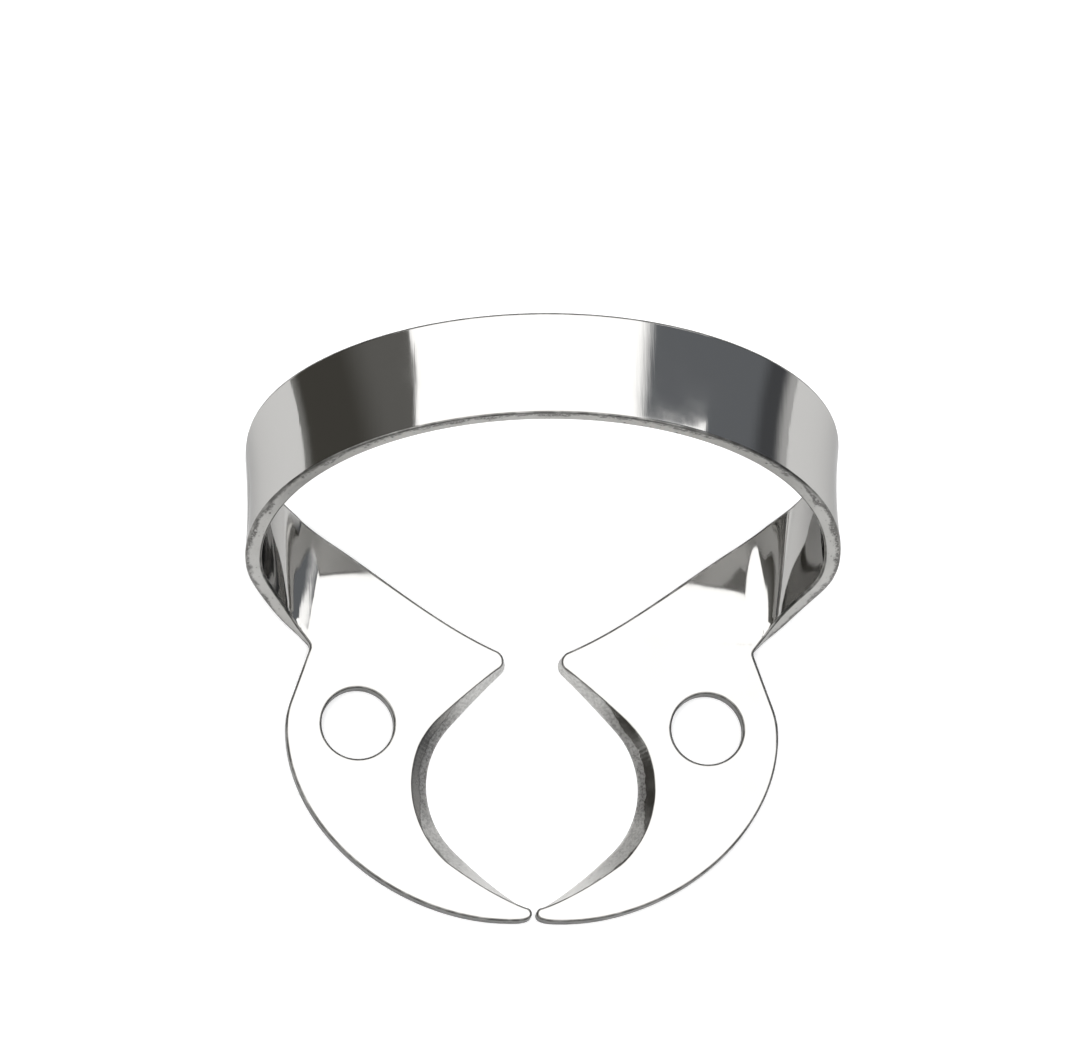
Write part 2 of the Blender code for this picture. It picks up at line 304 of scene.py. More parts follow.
def section(sizes, across):
    """The band's bent line at one place across its width, as x and z from the crease to the crown."""
    middle = sizes.thickness / 2
    half, rise = bow_axes(sizes)
    tuck = blend(sizes.leg_tuck_front, sizes.leg_tuck_back, across)
    radius = blend(sizes.crease_radius_front, sizes.crease_radius_back, across)
    turn = blend(sizes.crease_turn_front, sizes.crease_turn_back, across)
    start_x = sizes.bow_span / 2 - tuck
    crease = []
    for bent in turns(turn, CREASE_STEPS):
        crease.append(Vector((start_x + radius * math.sin(bent), middle + radius * (1 - math.cos(bent)))))
    widest = Vector((half, sizes.widest_height))
    fullness = blend(sizes.leg_sweep_front, sizes.leg_sweep_back, across)
    leg = sweep(crease[-1], turn, widest, math.pi / 2, LEG_STEPS, fullness)
    height = rise - across * sizes.crown_drop
    bow = []
    for turned in turns(math.pi / 2, BOW_STEPS):
        bow.append(Vector((half * math.cos(turned), sizes.widest_height + height * math.sin(turned))))
    return joined(crease, leg, bow)


def edge_line(sizes, across):
    """How far back the band's front or back edge lies at each step of its section."""
    travelled = distances(section(sizes, across))
    knee = CREASE_STEPS + LEG_STEPS
    half, rise = bow_axes(sizes)
    lean = math.tan(sizes.bow_lean)
    front_at_knee = sizes.notch_y + lean * (sizes.widest_height - sizes.thickness / 2)
    line = []
    for turned in turns(math.pi / 2, BOW_STEPS):
        climb = rise * math.cos(turned)
        climb /= math.hypot(climb, half * math.sin(turned))
        width = blend(sizes.band_width, sizes.crown_width, math.sin(turned)) * math.hypot(1.0, lean * climb)
        depth = math.sqrt(width**2 - (sizes.crown_drop * math.sin(turned)) ** 2)
        line.append(front_at_knee + lean * rise * math.sin(turned) + across * depth)
    heading = sizes.root_heading_back if across else sizes.root_heading_front
    root = sizes.notch_y + across * sizes.root_width
    reach = travelled[knee] / 3
    handle_out = root + math.tan(heading) * reach
    handle_in = line[0] - lean * reach
    leg = []
    for i in range(knee):
        leg.append(bezier(root, handle_out, handle_in, line[0], travelled[i] / travelled[knee]))
    return leg + line


def bending(points, i):
    """Curvature of a line of points at point i."""
    ahead = points[i + 1] if i + 1 < len(points) else Vector((-points[i - 1].x, points[i - 1].y))
    before = points[i] - points[i - 1]
    after = ahead - points[i]
    return 2 * abs(before.angle_signed(after)) / (before.length + after.length)


def guide_lines(sizes):
    """The band's front, middle and back lines from crease to crown, and the middle's hollow."""
    front_y = edge_line(sizes, 0)
    back_y = edge_line(sizes, 1)
    lines = []
    for across in (0.0, 0.5, 1.0):
        places = zip(section(sizes, across), front_y, back_y)
        lines.append([Vector((bent.x, blend(front, back, across), bent.y)) for bent, front, back in places])
    middle = section(sizes, 0.5)
    knee = CREASE_STEPS + LEG_STEPS
    hollow = []
    for i, point in enumerate(lines[1]):
        fade = min(1.0, max(0.0, (i - CREASE_STEPS) / LEG_STEPS))
        fade = fade * fade * (3 - 2 * fade)
        depth = bending(middle, max(i, knee)) * sizes.band_width**2 / 8
        inward = Vector((0.0, point.y, sizes.widest_height)) - point
        hollow.append(inward.normalized() * depth * fade)
    return lines, hollow


def both_sides(line):
    """A half line and its mirror image, from the right crease over the crown to the left one."""
    other = [Vector((-point.x, point.y, point.z)) for point in reversed(line[:-1])]
    return line + other


def led_in(line):
    """A line with one more point at each end, so that the sheet leaves the flat jaws level."""
    first = 2 * line[0] - line[1]
    last = 2 * line[-1] - line[-2]
    first.z = line[1].z
    last.z = line[-2].z
    return [first] + line + [last]


def edge_profile(sizes, bevel):
    """Profile of an edge as inset and height over the sheet's middle, from the top to the underside.

    The bevel is nought for a plain edge. Every profile has the same number of points.
    """
    half = sizes.thickness / 2
    radius = sizes.edge_rounding * blend(1.0, BEVEL_RIM_SHARE, min(1.0, bevel / FULL_BEVEL))
    rim = sizes.bevel_land - half
    turn = math.atan2(half - rim, bevel)
    start = bevel + radius * math.tan(turn / 2)
    profile = [(start + SUPPORT, half)]
    for bent in turns(turn, FILLET_STEPS):
        profile.append((start - radius * math.sin(bent), half - radius * (1 - math.cos(bent))))
    flank_x, flank_z = profile[-1]
    for i in range(1, FLANK_STEPS + 1):
        part = i / FLANK_STEPS
        profile.append((blend(flank_x, 0.0, part), blend(flank_z, rim, part)))
    for bent in turns(math.pi / 2, FILLET_STEPS):
        profile.append((radius * (1 - math.cos(bent)), -half + radius * (1 - math.sin(bent))))
    profile.append((radius + SUPPORT, -half))
    return profile


def profile_kinds():
    """Finish of each face down an edge's profile: 0 polished, 1 the edge's own face, 2 rounded rim."""
    rim = [2] * FILLET_STEPS
    return [0] + rim + [1] * (FLANK_STEPS + 1) + rim + [0]


def new_object(name, data):
    made = bpy.data.objects.new(name, data)
    bpy.context.scene.collection.objects.link(made)
    return made


def discard(made):
    data = made.data
    bpy.data.objects.remove(made)
    bpy.data.meshes.remove(data)


def guide_mesh(sizes):
    """The three guide lines as one mesh of vertices, line after line, each with its hollow."""
    lines, hollow = guide_lines(sizes)
    full = [led_in(both_sides(line)) for line in lines]
    sag = [Vector()] + both_sides(hollow) + [Vector()]
    data = bpy.data.meshes.new("band_guides")
    data.from_pydata([point for line in full for point in line], [], [])
    layer = data.attributes.new("hollow", "FLOAT_VECTOR", "POINT")
    layer.data.foreach_set("vector", [value for _ in full for item in sag for value in item])
    return data, len(full[0]) - 2


def ring_profile(sizes):
    """The band's closed profile: across share, inset, height share and shear of each point,
    and the finish of the face after each point."""
    edge = edge_profile(sizes, 0.0)
    kinds = profile_kinds()
    # Only points between two faces of the edge's own finish are torn
    torn = [float(set(kinds[max(i - 1, 0) : i + 1]) == {1}) for i in range(len(edge))]
    plain_kinds = [0] * (BAND_ROWS + 1)
    front = [(0.0, inset, height / sizes.thickness, shear) for (inset, height), shear in zip(edge, torn)]
    under = [(i / (BAND_ROWS + 1), 0.0, -0.5, 0.0) for i in range(1, BAND_ROWS + 1)]
    back = [(1.0, *values) for _, *values in reversed(front)]
    top = [(across, 0.0, 0.5, 0.0) for across, *_ in reversed(under)]
    return front + under + back + top, kinds + plain_kinds + kinds[::-1] + plain_kinds


def profile_mesh(ring, kinds):
    """The ring's profile as loose vertices that carry its values."""
    data = bpy.data.meshes.new("band_profile")
    data.from_pydata([(across, inset, height) for across, inset, height, _ in ring], [], [])
    for name, values in (("shear", [item[3] for item in ring]), ("kind", [float(item) for item in kinds])):
        data.attributes.new(name, "FLOAT", "POINT").data.foreach_set("value", values)
    return data


class Nodes:
    """Short forms for building a node tree."""

    def __init__(self, tree):
        self.tree = tree

    def add(self, kind, settings=None, **inputs):
        node = self.tree.nodes.new(kind)
        for key, value in (settings or {}).items():
            setattr(node, key, value)
        for key, value in inputs.items():
            self.feed(node.inputs[key.replace("_", " ")], value)
        return node

    def feed(self, socket, value):
        if isinstance(value, bpy.types.NodeSocket):
            self.tree.links.new(value, socket)
        else:
            socket.default_value = value

    def maths(self, operation, *values):
        node = self.tree.nodes.new("ShaderNodeMath")
        node.operation = operation
        for socket, value in zip(node.inputs, values):
            self.feed(socket, value)
        return node.outputs[0]

    def plus(self, first, second):
        return self.maths("ADD", first, second)

    def minus(self, first, second):
        return self.maths("SUBTRACT", first, second)

    def product(self, first, *others):
        for value in others:
            first = self.maths("MULTIPLY", first, value)
        return first

    def scaled(self, value, factor, shift):
        return self.maths("MULTIPLY_ADD", value, factor, shift)

    def past(self, value, start):
        """How far a value lies past a start, and 0 before it."""
        return self.maths("MAXIMUM", self.minus(value, start), 0.0)

    def vector(self, operation, *values, scale=None):
        node = self.tree.nodes.new("ShaderNodeVectorMath")
        node.operation = operation
        for socket, value in zip(node.inputs, values):
            self.feed(socket, value)
        if scale is not None:
            self.feed(node.inputs["Scale"], scale)
        return node.outputs["Vector"]

    def mixed(self, part, first, second):
        """A colour between two others, each a socket or three numbers."""
        node = self.tree.nodes.new("ShaderNodeMix")
        node.data_type = "RGBA"
        self.feed(node.inputs["Factor"], part)
        for key, item in (("A", first), ("B", second)):
            self.feed(node.inputs[key], item if isinstance(item, bpy.types.NodeSocket) else (*item, 1.0))
        return node.outputs["Result"]

    def ramp(self, value, low, high):
        """A smooth step from 0 at low to 1 at high."""
        node = self.tree.nodes.new("ShaderNodeMapRange")
        node.interpolation_type = "SMOOTHSTEP"
        for key, item in (("Value", value), ("From Min", low), ("From Max", high)):
            self.feed(node.inputs[key], item)
        return node.outputs["Result"]

    def noise(self, place, scale, detail, roughness=0.5):
        node = self.add("ShaderNodeTexNoise", Vector=place, Scale=scale, Detail=detail, Roughness=roughness)
        return node.outputs[0]

    def bump(self, height, strength, distance, **under):
        node = self.add("ShaderNodeBump", Height=height, Strength=strength, Distance=distance, **under)
        return node.outputs[0]

    def place_and_edge_shade(self):
        """Place on the clamp: down the edge, along the bevel from the tip, and how much painted shade
        darkens the edge.
        """
        place = self.add("ShaderNodeAttribute", {"attribute_name": "place_and_edge_shade"}).outputs["Vector"]
        return self.add("ShaderNodeSeparateXYZ", Vector=place).outputs


def band_tree():
    """Geometry Nodes that sweep the ring profile along the band's three guide lines."""
    tree = bpy.data.node_groups.new("bent_band", "GeometryNodeTree")
    sockets = {
        "Geometry": ("Guides",),
        "Object": ("Profile",),
        "Int": ("Profile Points", "Steps"),
        "Float": ("Thickness", "Hollow", "Shear Depth", "Seed"),
        "Material": ("Steel", "Sheared Edge", "Rim"),
    }
    for kind, names in sockets.items():
        for name in names:
            tree.interface.new_socket(name, in_out="INPUT", socket_type="NodeSocket" + kind)
    tree.interface.new_socket("Band", in_out="OUTPUT", socket_type="NodeSocketGeometry")
    n = Nodes(tree)
    given = n.add("NodeGroupInput").outputs
    columns = n.plus(given["Profile Points"], 1)
    grid = n.add("GeometryNodeMeshGrid", Vertices_X=given["Steps"], Vertices_Y=columns)
    index = n.add("GeometryNodeInputIndex").outputs[0]
    step = n.maths("FLOOR", n.maths("DIVIDE", n.plus(index, 0.5), columns))
    column = n.minus(index, n.product(step, columns))
    place = n.maths("FLOORED_MODULO", column, given["Profile Points"])
    profile = n.add("GeometryNodeObjectInfo", Object=given["Profile"]).outputs["Geometry"]
    position = n.add("GeometryNodeInputPosition").outputs[0]

    def stored(name, kind):
        return n.add("GeometryNodeInputNamedAttribute", {"data_type": kind}, Name=name).outputs[0]

    def sampled(geometry, value, where, kind):
        settings = {"data_type": kind, "domain": "POINT", "clamp": True}
        node = n.add("GeometryNodeSampleIndex", settings, Geometry=geometry, Value=value, Index=where)
        return node.outputs["Value"]

    ring = n.add("ShaderNodeSeparateXYZ", Vector=sampled(profile, position, place, "FLOAT_VECTOR")).outputs
    across, inset, height = ring
    shear = sampled(profile, stored("shear", "FLOAT"), place, "FLOAT")
    hollow = stored("hollow", "FLOAT_VECTOR")
    guide_points = n.plus(given["Steps"], 2)

    def guide(line, shift):
        where = n.plus(n.plus(step, 1 + shift), n.product(guide_points, line))
        point = sampled(given["Guides"], position, where, "FLOAT_VECTOR")
        if line != 1:
            return point
        sag = sampled(given["Guides"], hollow, where, "FLOAT_VECTOR")
        return n.vector("ADD", point, n.vector("SCALE", sag, scale=given["Hollow"]))

    def weighed(points, weights):
        parts = [n.vector("SCALE", point, scale=weight) for point, weight in zip(points, weights)]
        return n.vector("ADD", n.vector("ADD", parts[0], parts[1]), parts[2])

    # Weights of the parabola through the front, middle and back lines, and of its slope across.
    twice = n.product(across, 2)
    half_left = n.minus(across, 0.5)
    left = n.minus(across, 1)
    curve = (
        n.product(half_left, left, 2),
        n.product(across, left, -4),
        n.product(twice, half_left),
    )
    four = n.product(across, 4)
    slope = (n.minus(four, 3), n.scaled(across, -8, 4), n.minus(four, 1))
    here, next_on, next_back = ([guide(line, shift) for line in range(3)] for shift in (0, 1, -1))
    middle = weighed(here, curve)
    over = weighed(here, slope)
    ahead = weighed(next_on, curve)
    behind = weighed(next_back, curve)
    along = n.vector("SUBTRACT", ahead, behind)
    normal = n.vector("NORMALIZE", n.vector("CROSS_PRODUCT", along, over))
    outward = n.vector("NORMALIZE", n.vector("CROSS_PRODUCT", along, normal))
    side = n.minus(1, n.product(n.maths("GREATER_THAN", across, 0.5), 2))

    # Tears left by the shear, long through the thickness and short along the edge.
    run = n.add("ShaderNodeCombineXYZ", X=n.product(step, TEARS_ALONG), Y=n.product(height, TEARS_THROUGH))
    pattern = {"Vector": run.outputs[0], "W": given["Seed"], "Scale": 0.6, "Detail": 3.0}
    torn = n.add("ShaderNodeTexNoise", {"noise_dimensions": "4D"}, **pattern)
    depth = n.product(n.minus(torn.outputs[0], TEAR_LEVEL), given["Shear Depth"])
    inset = n.plus(inset, n.product(depth, shear, 2.0))
    lifted = n.vector("SCALE", normal, scale=n.product(height, given["Thickness"]))
    drawn = n.vector("SCALE", outward, scale=n.product(inset, side, -1))
    target = n.vector("ADD", n.vector("ADD", middle, lifted), drawn)

    placed = n.add("GeometryNodeSetPosition", Geometry=grid.outputs["Mesh"], Position=target)
    solid = n.add("GeometryNodeRealizeInstances", Geometry=placed.outputs[0])
    steel = n.add("GeometryNodeSetMaterial", Geometry=solid.outputs[0], Material=given["Steel"])
    # The grid's faces follow its columns, so a face's finish is that of its first column's point.
    face_column = n.maths("FLOORED_MODULO", index, given["Profile Points"])
    kind = sampled(profile, stored("kind", "FLOAT"), face_column, "FLOAT")
    finished = steel.outputs[0]
    for code, name in ((1, "Sheared Edge"), (2, "Rim")):
        node = n.add("GeometryNodeSetMaterial", Geometry=finished, Material=given[name])
        n.feed(node.inputs["Selection"], n.maths("COMPARE", kind, code, 0.1))
        finished = node.outputs[0]
    n.feed(n.add("NodeGroupOutput").inputs["Band"], finished)
    return tree


def swept_band(sizes, finish, materials):
    """The band as a plain mesh, an open tube whose rings follow each other from crease to crease."""
    guides, steps = guide_mesh(sizes)
    ring, kinds = ring_profile(sizes)
    profile = new_object("band_profile", profile_mesh(ring, kinds))
    band = new_object("band", guides)
    modifier = band.modifiers.new("bent_band", "NODES")
    tree = band_tree()
    values = {
        "Profile": profile,
        "Profile Points": len(ring),
        "Steps": steps,
        "Thickness": sizes.thickness,
        "Hollow": sizes.hollow,
        "Shear Depth": finish.shear_depth,
        "Seed": TEAR_SEED,
        "Steel": materials[0],
        "Sheared Edge": materials[1],
        "Rim": materials[2],
    }
    modifier.node_group = tree
    for item in tree.interface.items_tree:
        if item.in_out == "INPUT" and item.name in values:
            modifier[item.identifier] = values[item.name]
    evaluated = band.evaluated_get(bpy.context.evaluated_depsgraph_get())
    data = bpy.data.meshes.new_from_object(evaluated)
    if len(data.vertices) != steps * (len(ring) + 1):
        raise RuntimeError("the band was not swept")
    for face in data.polygons:
        face.material_index = materials.index(data.materials[face.material_index])
    band.modifiers.clear()
    discard(band)
    discard(profile)
    return data, steps, len(ring)


def outer_outline(sizes):
    """From the notch, round the ear and along the jaw's outer side to the front of its tip."""
    notch = Vector((sizes.bow_span / 2 - sizes.leg_tuck_front, sizes.notch_y))
    inward = sizes.root_heading_front + math.pi
    notch_centre = notch + sizes.notch_radius * heading_vector(inward + math.pi / 2)
    ear_centre = Vector((sizes.jaw_half_width - sizes.ear_radius, sizes.ear_y))
    between = ear_centre - notch_centre
    lean = math.asin(min(1.0, (sizes.ear_radius + sizes.notch_radius) / between.length))
    flank = math.atan2(between.y, between.x) + lean
    start, end = inward - math.pi / 2, flank + math.pi * 1.5
    notch_round = arc(notch_centre, sizes.notch_radius, start, end, NOTCH_STEPS)
    ear = arc(ear_centre, sizes.ear_radius, flank + math.pi / 2, 0.0, EAR_STEPS)
    front = Vector((sizes.jaw_front_x, sizes.jaw_front_y))
    side = sweep(ear[-1], -math.pi / 2, front, -math.pi, SIDE_STEPS, sizes.side_fullness)
    to_tip = sweep(front, math.pi, tip_round(sizes)[0], math.pi - sizes.tip_rise, NOSE_STEPS)
    return joined(notch_round, [notch_round[-1], ear[0]], ear, side, to_tip)


def tip_round(sizes):
    """The tip's nose, from the outer side round to the recess."""
    centre = Vector((sizes.tip_gap / 2 + sizes.tip_radius, sizes.tip_y))
    start = -math.pi / 2 - sizes.tip_rise
    return arc(centre, sizes.tip_radius, start, -math.pi * 1.5 + sizes.tip_heading, NOSE_STEPS)


def prong_round(sizes):
    """The prong's nose, from the recess round to the jaw's back edge."""
    centre = Vector((sizes.prong_gap / 2 + sizes.prong_radius, sizes.prong_y))
    start = sizes.prong_front_heading - math.pi / 2
    return arc(centre, sizes.prong_radius, start, sizes.prong_back_heading - math.pi * 1.5, NOSE_STEPS)


def recess_outline(sizes):
    """The ground edge of the tooth recess, from the tip's nose to the far side of the prong's."""
    centre = Vector((sizes.recess_centre_x, sizes.recess_centre_y))
    bowl = arc(centre, sizes.recess_radius, sizes.recess_end, sizes.recess_start, RECESS_STEPS)
    tip = tip_round(sizes)[-1]
    prong = prong_round(sizes)
    from_tip = sweep(tip, sizes.tip_heading, bowl[0], sizes.recess_end + math.pi / 2, RUN_STEPS)
    leaving = sizes.recess_start + math.pi / 2
    to_prong = sweep(bowl[-1], leaving, prong[0], sizes.prong_front_heading + math.pi, RUN_STEPS)
    return joined(from_tip, bowl, to_prong, prong)


def back_outline(sizes):
    """The jaw's back edge, from the prong's nose to the back end of the crease."""
    start = prong_round(sizes)[-1]
    end = Vector((sizes.bow_span / 2 - sizes.leg_tuck_back, sizes.notch_y + sizes.root_width))
    return sweep(start, sizes.prong_back_heading, end, sizes.root_heading_back, RECESS_STEPS)


def jaw_outline(sizes):
    """The right jaw's whole outline from notch to crease, with the bevel's width at each point."""
    before = even(joined(outer_outline(sizes), tip_round(sizes)), OUTLINE_SPACING)
    recess = even(recess_outline(sizes), OUTLINE_SPACING)
    after = even(back_outline(sizes), OUTLINE_SPACING)
    points = joined(before, recess, after)
    bevels = [0.0] * (len(before) - 1)
    travelled = distances(recess)
    for here in travelled:
        from_tip = min(1.0, here / sizes.bevel_run_tip)
        from_prong = min(1.0, (travelled[-1] - here) / sizes.bevel_run_prong)
        bevels.append(sizes.bevel_width * (from_tip * from_prong) ** sizes.bevel_fade)
    bevels += [0.0] * (len(after) - 1)
    return points, bevels


def outward(points, i):
    """Direction out of the sheet at a point of an outline that runs clockwise seen from above."""
    before = points[max(i - 1, 0)]
    after = points[min(i + 1, len(points) - 1)]
    run = (after - before).normalized()
    return Vector((-run.y, run.x))


def strip(mesh, first, second, materials):
    """Faces between two rows of vertices, with a material for each."""
    for i, material in enumerate(materials):
        face = mesh.faces.new((first[i], first[i + 1], second[i + 1], second[i]))
        face.material_index = material


def fill(mesh, loops):
    """Triangles over a flat area with holes, from its loops of vertices."""
    flat = [[Vector((vert.co.x, vert.co.y, 0.0)) for vert in loop] for loop in loops]
    verts = [vert for loop in loops for vert in loop]
    for corners in tessellate_polygon(flat):
        mesh.faces.new([verts[corner] for corner in corners])


def down_shares():
    """How far down an edge each point of its profile lies, from 0 at the top to 1 at the underside."""
    flank = [i / (FLANK_STEPS + 1) for i in range(1, FLANK_STEPS + 2)]
    return [0.0] * (FILLET_STEPS + 2) + flank + [1.0] * (FILLET_STEPS + 1)


def edge_row(mesh, place_and_edge_shade, sizes, side, point, inward, bevel, along, painted_edge_shade):
    """One row of vertices down an edge at a point of its outline, with its place and painted shade for the
    finishes.
    """
    row = []
    for (inset, height), down in zip(edge_profile(sizes, bevel), down_shares()):
        place = point + inward * inset
        vert = mesh.verts.new((side * place.x, place.y, sizes.thickness / 2 + height))
        vert[place_and_edge_shade] = (down, along, painted_edge_shade)
        row.append(vert)
    return row


def add_jaw(mesh, place_and_edge_shade, ring, sizes, side):
    """One flat jaw plate, grown from the band's last ring of vertices at its crease."""
    outline, bevels = jaw_outline(sizes)
    beveled = [i for i, width in enumerate(bevels) if width > 0.0]
    first, last = beveled[0], beveled[-1]
    kinds = profile_kinds()
    count = len(kinds) + 1
    front = ring[:count]
    underside = ring[count : count + BAND_ROWS]
    back = ring[count + BAND_ROWS : 2 * count + BAND_ROWS][::-1]
    topside = ring[2 * count + BAND_ROWS :]
    rows = [front]
    for i in range(1, len(outline) - 1):
        along = min(1.0, max(0.0, (i - first) / (last - first)))
        # Painted shade: the jaw's edges are painted darker than the band's, fading in from the notch and the
        # crease.
        painted_edge_shade = min(1.0, min(i, len(outline) - 1 - i) / EDGE_SHADE_STEPS)
        inward = -outward(outline, i)
        rows.append(edge_row(mesh, place_and_edge_shade, sizes, side, outline[i], inward, bevels[i], along, painted_edge_shade))
    rows.append(back)
    for i in range(len(rows) - 1):
        ground = 3 if max(bevels[i], bevels[i + 1]) > GROUND_FROM else 1
        strip(mesh, rows[i], rows[i + 1], [ground if kind == 1 else kind for kind in kinds])
    hole = hole_rows(mesh, place_and_edge_shade, sizes, side)
    for i in range(len(hole)):
        strip(mesh, hole[i], hole[(i + 1) % len(hole)], kinds)
    fill(mesh, [[row[0] for row in rows] + topside, [row[0] for row in hole]])
    fill(mesh, [[row[-1] for row in rows] + underside[::-1], [row[-1] for row in hole]])


def hole_rows(mesh, place_and_edge_shade, sizes, side):
    """Rows of vertices down the wall of a forceps hole, with its edges rounded as the others."""
    centre = Vector((sizes.jaw_half_width - sizes.hole_to_ear, sizes.notch_y - sizes.hole_to_notch))
    rows = []
    for i in range(HOLE_SIDES):
        out = heading_vector(math.tau * i / HOLE_SIDES)
        wall = centre + out * sizes.hole_diameter / 2
        # Painted shade: the hole's wall is painted as dark as the jaw's edges.
        rows.append(edge_row(mesh, place_and_edge_shade, sizes, side, wall, out, 0.0, 0.0, 1.0))
    return rows


def clamp_mesh(sizes, finish, materials):
    """The whole clamp as one closed mesh. Its vertices carry a vector that tells the finishes where they
    are:
    down through the edge, along the bevel from the tip, and how much painted shade darkens the edge."""
    band, steps, ring = swept_band(sizes, finish, materials)
    mesh = bmesh.new()
    mesh.from_mesh(band)
    place_and_edge_shade = mesh.verts.layers.float_vector.new("place_and_edge_shade")
    mesh.verts.ensure_lookup_table()
    down = down_shares() + [1.0] * BAND_ROWS + down_shares()[::-1] + [0.0] * (BAND_ROWS + 1)
    # The band's edges take none of the painted shade.
    for vert in mesh.verts:
        vert[place_and_edge_shade] = (down[vert.index % (ring + 1)], 0.0, 0.0)
    last_row = (steps - 1) * (ring + 1)
    ends = [[mesh.verts[start + i] for i in range(ring)] for start in (0, last_row)]
    for end, side in zip(ends, (1, -1)):
        add_jaw(mesh, place_and_edge_shade, end, sizes, side)
    bmesh.ops.remove_doubles(mesh, verts=mesh.verts, dist=JOIN)
    bmesh.ops.recalc_face_normals(mesh, faces=mesh.faces)
    open_edges = sum(1 for edge in mesh.edges if len(edge.link_faces) != 2)
    if open_edges:
        raise RuntimeError(f"the clamp's sheet has {open_edges} open edges")
    data = bpy.data.meshes.new("clamp_steel")
    mesh.to_mesh(data)
    mesh.free()
    bpy.data.meshes.remove(band)
    for material in materials:
        data.materials.append(material)
    data.shade_smooth()
    return data


def new_material(name):
    material = bpy.data.materials.new(name)
    material.use_nodes = True
    return material, material.node_tree.nodes["Principled BSDF"], Nodes(material.node_tree)


def bare_metal(name):
    """A metal material, its shader, short forms for its nodes, and the place on the clamp."""
    material, shader, n = new_material(name)
    shader.inputs["Metallic"].default_value = 1.0
    return material, shader, n, n.add("ShaderNodeTexCoord").outputs["Object"]


def group_tree(name, inputs, output):
    """A shader group with its sockets, and short forms for its nodes."""
    tree = bpy.data.node_groups.new(name, "ShaderNodeTree")
    tree.interface.new_socket("Vector", in_out="INPUT", socket_type="NodeSocketVector")
    for title, value in inputs:
        tree.interface.new_socket(title, in_out="INPUT", socket_type="NodeSocketFloat").default_value = value
    tree.interface.new_socket(output, in_out="OUTPUT", socket_type="NodeSocketFloat")
    n = Nodes(tree)
    return tree, n, n.add("NodeGroupInput").outputs, n.add("NodeGroupOutput").inputs


def pits_group():
    """Small round pits of mixed sizes, scattered thinly, as a mask."""
    tree, n, given, made = group_tree("pits", (("Pit Spacing", 0.25 * MM), ("Share", 0.3)), "Mask")
    scale = n.maths("DIVIDE", 1.0, given["Pit Spacing"])
    cells = n.add("ShaderNodeTexVoronoi", Vector=given["Vector"], Scale=scale)
    picked = n.add("ShaderNodeSeparateColor", Color=cells.outputs["Color"]).outputs
    chosen = n.maths("LESS_THAN", picked["Red"], given["Share"])
    reach = n.scaled(picked["Green"], 0.2, 0.1)
    outside = n.ramp(cells.outputs["Distance"], n.product(reach, 0.4), reach)
    n.feed(made["Mask"], n.product(n.minus(1.0, outside), chosen))
    return tree


def smears_group():
    """Soft uneven patches as left by handling and buffing, from 0 to 1."""
    tree, n, given, made = group_tree("smears", (("Patch Size", 3.0 * MM),), "Value")
    scale = n.maths("DIVIDE", 1.0, given["Patch Size"])
    n.feed(made["Value"], n.ramp(n.noise(given["Vector"], scale, 4.0, 0.6), 0.38, 0.72))
    return tree


def grouped(n, tree, **inputs):
    """The value that a shader group gives for its inputs."""
    return n.add("ShaderNodeGroup", {"node_tree": tree}, **inputs).outputs[0]


def polished_steel(finish, smears):
    """Mirror-polished faces with a faint ripple, buffing streaks and handling smears."""
    material, shader, n, place = bare_metal("polished_steel")
    smear = grouped(n, smears, Vector=place, Patch_Size=3.5 * MM)
    n.feed(shader.inputs["Roughness"], n.scaled(smear, 0.05, finish.polish))
    shader.inputs["Base Color"].default_value = (*finish.steel_colour, 1.0)
    shader.inputs["Specular Tint"].default_value = (*GRAZING_TINT, 1.0)
    # The streaks run round the band, so the pattern is stretched along Y and Z.
    streaks = n.noise(n.vector("MULTIPLY", place, (1.0, 0.06, 0.06)), 7000.0, 3.0)
    scored = n.bump(streaks, 0.35, 0.0025 * MM)
    n.feed(shader.inputs["Normal"], n.bump(n.noise(place, 420.0, 2.0), 0.35, 0.012 * MM, Normal=scored))
    return material


def sheared_steel(finish, pits, smears):
    """The blank's cut edges: torn under the outer face, pitted, and with painted shade that darkens them
    round the jaws and holes.
    """
    material, shader, n, place = bare_metal("sheared_edge")
    down, _, painted_edge_shade = n.place_and_edge_shade()
    fine = grouped(n, pits, Vector=place, Pit_Spacing=0.16 * MM, Share=0.5)
    coarse = grouped(n, pits, Vector=place, Pit_Spacing=0.3 * MM, Share=0.25)
    smear = grouped(n, smears, Vector=place, Patch_Size=1.2 * MM)
    # The tears reach up from the outer face, more where the edge is smeared.
    reach = n.scaled(smear, 0.45, 0.18)
    upper = n.ramp(down, n.minus(0.88, reach), n.minus(1.12, reach))
    torn = n.product(upper, n.ramp(n.noise(place, 7000.0, 5.0, 0.7), 0.4, 0.52))
    hole = n.maths("MAXIMUM", n.maths("MAXIMUM", fine, coarse), torn)
    # Painted shade: round the jaws and holes the edge takes the rims' dark painted colour instead of its
    # own.
    edge = n.mixed(painted_edge_shade, finish.edge_colour, finish.rim_shade_colour)
    n.feed(shader.inputs["Base Color"], n.mixed(n.product(hole, 0.8), edge, TORN))
    n.feed(shader.inputs["Roughness"], n.scaled(smear, 0.15, 0.28))
    height = n.minus(n.noise(place, 9000.0, 4.0, 0.65), hole)
    n.feed(shader.inputs["Normal"], n.bump(height, 0.6, finish.shear_depth * 1.6))
    return material


def rim_steel(finish, smears):
    """The rounded rims, tumbled dull, with a painted shade that makes them darker than the faces."""
    material, shader, n, place = bare_metal("tumbled_rim_painted_shade")
    smear = grouped(n, smears, Vector=place, Patch_Size=0.6 * MM)
    # Painted shade: the rims' dark colour, lightened in patches by the smears.
    mottled = n.mixed(n.product(smear, 0.5), finish.rim_shade_colour, finish.edge_colour)
    n.feed(shader.inputs["Base Color"], mottled)
    shader.inputs["Roughness"].default_value = 0.3
    return material


